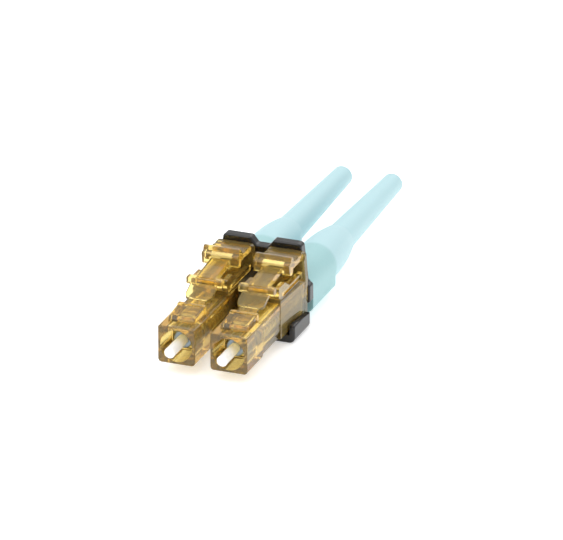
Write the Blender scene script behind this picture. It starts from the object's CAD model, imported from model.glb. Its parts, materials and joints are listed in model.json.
import json
import math

import bpy
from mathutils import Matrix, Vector


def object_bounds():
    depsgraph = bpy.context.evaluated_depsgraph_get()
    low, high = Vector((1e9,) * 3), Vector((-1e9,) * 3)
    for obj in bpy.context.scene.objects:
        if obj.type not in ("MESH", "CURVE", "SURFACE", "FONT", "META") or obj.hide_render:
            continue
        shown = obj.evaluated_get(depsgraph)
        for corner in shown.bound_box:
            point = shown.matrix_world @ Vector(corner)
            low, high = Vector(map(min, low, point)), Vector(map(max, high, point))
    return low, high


MM = 0.001
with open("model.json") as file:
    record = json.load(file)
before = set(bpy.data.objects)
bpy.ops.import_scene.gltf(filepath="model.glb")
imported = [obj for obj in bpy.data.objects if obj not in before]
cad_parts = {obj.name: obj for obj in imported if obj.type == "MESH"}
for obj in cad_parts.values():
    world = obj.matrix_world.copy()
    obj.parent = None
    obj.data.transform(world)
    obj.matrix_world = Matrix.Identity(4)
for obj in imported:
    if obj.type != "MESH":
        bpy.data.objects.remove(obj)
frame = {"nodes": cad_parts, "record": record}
cad_low, cad_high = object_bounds()
nodes = frame["nodes"]

# Camera, at the photograph's viewing angle: a long lens from the front right, above
CAMERA_AZIMUTH = 21.1
CAMERA_ELEVATION = 23.56
CAMERA_DISTANCE = 900 * MM
CAMERA_LENS = 506.2
CAMERA_TARGET = Vector((0.18 * MM, 24.0 * MM, 0.02 * MM))

# Where the boots' grips end and their domes begin, and how far the two shades blend
GRIP_END_Y = 26.8 * MM
GRIP_BLEND = 0.6 * MM

FLOOR_HALF_WIDTH = 1.5
FLOOR_GAP = 0.02 * MM
LIGHT_DISTANCE = 0.5
SOFT_BOX_SIZE = 0.5
RELIEF = 0.01 * MM


def direction(azimuth, elevation):
    """Unit vector from the part towards a viewer; azimuth 0 is the front, 90 the right."""
    a, e = math.radians(azimuth), math.radians(elevation)
    return Vector((math.sin(a) * math.cos(e), -math.cos(a) * math.cos(e), math.sin(e)))


def look_at(obj, target):
    """Turn a camera or a light so that it faces a point."""
    obj.rotation_euler = (target - obj.location).to_track_quat("-Z", "Y").to_euler()


def make_camera():
    """The scene's camera, with no shift and no depth of field."""
    data = bpy.data.cameras.new("camera")
    data.lens = CAMERA_LENS
    data.clip_start = 0.01
    data.clip_end = 20
    camera = bpy.data.objects.new("camera", data)
    bpy.context.collection.objects.link(camera)
    camera.location = CAMERA_TARGET + direction(CAMERA_AZIMUTH, CAMERA_ELEVATION) * CAMERA_DISTANCE
    look_at(camera, CAMERA_TARGET)
    bpy.context.scene.camera = camera


def make_light(name, azimuth, elevation, power):
    """A square white soft box aimed at the middle of the part."""
    data = bpy.data.lights.new(name, "AREA")
    data.size = SOFT_BOX_SIZE
    data.energy = power
    light = bpy.data.objects.new(name, data)
    bpy.context.collection.objects.link(light)
    light.location = CAMERA_TARGET + direction(azimuth, elevation) * LIGHT_DISTANCE
    look_at(light, CAMERA_TARGET)


def make_floor():
    """A plain pale floor under the clip."""
    half = FLOOR_HALF_WIDTH
    mesh = bpy.data.meshes.new("floor")
    corners = [(-half, -half, 0), (half, -half, 0), (half, half, 0), (-half, half, 0)]
    mesh.from_pydata(corners, [], [(0, 1, 2, 3)])
    floor = bpy.data.objects.new("floor", mesh)
    bpy.context.collection.objects.link(floor)
    floor.location.z = cad_low.z - FLOOR_GAP
    material = bpy.data.materials.new("floor")
    material.use_nodes = True
    shader = material.node_tree.nodes["Principled BSDF"]
    shader.inputs["Base Color"].default_value = (0.9, 0.9, 0.9, 1)
    shader.inputs["Roughness"].default_value = 0.9
    shader.inputs["Emission Color"].default_value = (1, 1, 1, 1)
    shader.inputs["Emission Strength"].default_value = 0.45
    mesh.materials.append(material)


def make_world():
    """Even white surroundings."""
    world = bpy.data.worlds.new("studio")
    world.use_nodes = True
    background = world.node_tree.nodes["Background"]
    background.inputs["Color"].default_value = (1, 1, 1, 1)
    background.inputs["Strength"].default_value = 0.8
    bpy.context.scene.world = world
    bpy.context.scene.view_settings.view_transform = "Standard"


def new_material(name):
    """An undressed material, with its node tree and its shader."""
    material = bpy.data.materials.new(name)
    material.use_nodes = True
    tree = material.node_tree
    return material, tree, tree.nodes["Principled BSDF"]


def add(tree, kind, **values):
    """A node with some of its inputs set."""
    node = tree.nodes.new(kind)
    for key, value in values.items():
        node.inputs[key.replace("_", " ")].default_value = value
    return node


def noise(tree, scale, detail=3.0, stretch=(1, 1, 1)):
    """Object-space noise; scale is in features per metre."""
    place = tree.nodes.new("ShaderNodeTexCoord")
    mapping = add(tree, "ShaderNodeMapping", Scale=stretch)
    texture = add(tree, "ShaderNodeTexNoise", Scale=scale, Detail=detail)
    tree.links.new(place.outputs["Object"], mapping.inputs["Vector"])
    tree.links.new(mapping.outputs["Vector"], texture.inputs["Vector"])
    return texture.outputs["Fac"]


def ramp(tree, source, low, high, start=0.3, end=0.7):
    """Map a 0 to 1 value onto a range."""
    node = add(tree, "ShaderNodeMapRange")
    node.inputs["From Min"].default_value = start
    node.inputs["From Max"].default_value = end
    node.inputs["To Min"].default_value = low
    node.inputs["To Max"].default_value = high
    tree.links.new(source, node.inputs["Value"])
    return node.outputs["Result"]


def bump(tree, shader, source, strength):
    """Faint surface relief."""
    node = add(tree, "ShaderNodeBump", Strength=strength, Distance=RELIEF)
    tree.links.new(source, node.inputs["Height"])
    tree.links.new(node.outputs["Normal"], shader.inputs["Normal"])


def blend_colours(tree, shader, source, first, second):
    """Drive the base colour between two colours."""
    node = tree.nodes.new("ShaderNodeMix")
    node.data_type = "RGBA"
    node.inputs["A"].default_value = (*first, 1)
    node.inputs["B"].default_value = (*second, 1)
    tree.links.new(source, node.inputs["Factor"])
    tree.links.new(node.outputs["Result"], shader.inputs["Base Color"])


def amber_plastic():
    """Clear amber plastic: pale gold where thin, brown where thick, with faint flow marks."""
    material, tree, shader = new_material("amber_plastic")
    shader.inputs["Transmission Weight"].default_value = 0.92
    shader.inputs["IOR"].default_value = 1.45
    blend_colours(tree, shader, noise(tree, 220, 2), (0.98, 0.84, 0.38), (0.95, 0.76, 0.28))
    tree.links.new(ramp(tree, noise(tree, 700), 0.05, 0.12), shader.inputs["Roughness"])
    bump(tree, shader, noise(tree, 420, 2, (1, 0.3, 1)), 0.25)
    absorb = add(tree, "ShaderNodeVolumeAbsorption", Density=270.0)
    absorb.inputs["Color"].default_value = (0.92, 0.7, 0.09, 1)
    tree.links.new(absorb.outputs["Volume"], tree.nodes["Material Output"].inputs["Volume"])
    return material


def along_y(tree, start, end):
    """0 ahead of a Y position and 1 behind it, with a short blend between the two."""
    place = tree.nodes.new("ShaderNodeTexCoord")
    split = tree.nodes.new("ShaderNodeSeparateXYZ")
    tree.links.new(place.outputs["Object"], split.inputs["Vector"])
    return ramp(tree, split.outputs["Y"], 0, 1, start, end)


def aqua_rubber():
    """Soft satin aqua thermoplastic, a shade deeper on the grip than on the dome and tail."""
    material, tree, shader = new_material("aqua_rubber")
    grip = (0.33, 0.56, 0.575)
    tail = (0.44, 0.65, 0.69)
    blend_colours(tree, shader, along_y(tree, GRIP_END_Y, GRIP_END_Y + GRIP_BLEND), grip, tail)
    tree.links.new(ramp(tree, noise(tree, 2500), 0.4, 0.56), shader.inputs["Roughness"])
    shader.inputs["Subsurface Weight"].default_value = 0.2
    shader.inputs["Subsurface Radius"].default_value = (0.8, 1.0, 1.0)
    shader.inputs["Subsurface Scale"].default_value = 0.6 * MM
    bump(tree, shader, noise(tree, 9000, 2), 0.3)
    return material


def black_plastic():
    """Smooth glossy black plastic with a slightly uneven gloss."""
    material, tree, shader = new_material("black_plastic")
    blend_colours(tree, shader, noise(tree, 300), (0.004, 0.0038, 0.0034), (0.007, 0.0065, 0.0058))
    tree.links.new(ramp(tree, noise(tree, 500), 0.14, 0.22), shader.inputs["Roughness"])
    bump(tree, shader, noise(tree, 250, 2), 0.15)
    return material


def ceramic():
    """Bright white polished zirconia, slightly translucent."""
    material, tree, shader = new_material("ceramic")
    blend_colours(tree, shader, noise(tree, 800), (0.93, 0.93, 0.9), (0.97, 0.97, 0.95))
    tree.links.new(ramp(tree, noise(tree, 3000), 0.1, 0.2), shader.inputs["Roughness"])
    shader.inputs["Subsurface Weight"].default_value = 0.3
    shader.inputs["Subsurface Radius"].default_value = (1.0, 0.95, 0.85)
    shader.inputs["Subsurface Scale"].default_value = 0.3 * MM
    return material


def turned_metal(name, dark, light, roughness=(0.22, 0.4)):
    """Metal with fine turning marks round the plug axis."""
    material, tree, shader = new_material(name)
    shader.inputs["Metallic"].default_value = 1.0
    marks = noise(tree, 900, 4, (0.3, 6, 0.3))
    blend_colours(tree, shader, marks, dark, light)
    tree.links.new(ramp(tree, marks, *roughness), shader.inputs["Roughness"])
    bump(tree, shader, marks, 0.4)
    return material


def soft_plastic(name, first, second):
    """Satin plastic of the hidden tube and the fibre's buffer coat."""
    material, tree, shader = new_material(name)
    blend_colours(tree, shader, noise(tree, 900), first, second)
    tree.links.new(ramp(tree, noise(tree, 2500), 0.35, 0.5), shader.inputs["Roughness"])
    return material


def dress_nodes():
    """Give every CAD node the finish of its material slot."""
    finishes = {
        "amber_housing": amber_plastic(),
        "zirconia": ceramic(),
        "flange_metal": turned_metal("flange_metal", (0.16, 0.2, 0.24), (0.26, 0.31, 0.35)),
        "guide_tube": soft_plastic("guide_tube", (0.8, 0.8, 0.78), (0.86, 0.86, 0.84)),
        "fibre_buffer": soft_plastic("fibre_buffer", (0.42, 0.7, 0.72), (0.48, 0.76, 0.78)),
        "spring_steel": turned_metal("spring_steel", (0.5, 0.5, 0.5), (0.66, 0.66, 0.67)),
        "post_metal": turned_metal("post_metal", (0.52, 0.5, 0.46), (0.68, 0.66, 0.62)),
        "aqua_boot": aqua_rubber(),
        "black_clip": black_plastic(),
    }
    for subpart in frame["record"]["subparts"]:
        obj = nodes[subpart["node"]]
        obj.data.materials.clear()
        obj.data.materials.append(finishes[subpart["material_slot"]])


make_camera()
make_world()
make_floor()
make_light("key", -40, 55, 1.2)
make_light("rear", 170, 50, 0.8)
dress_nodes()
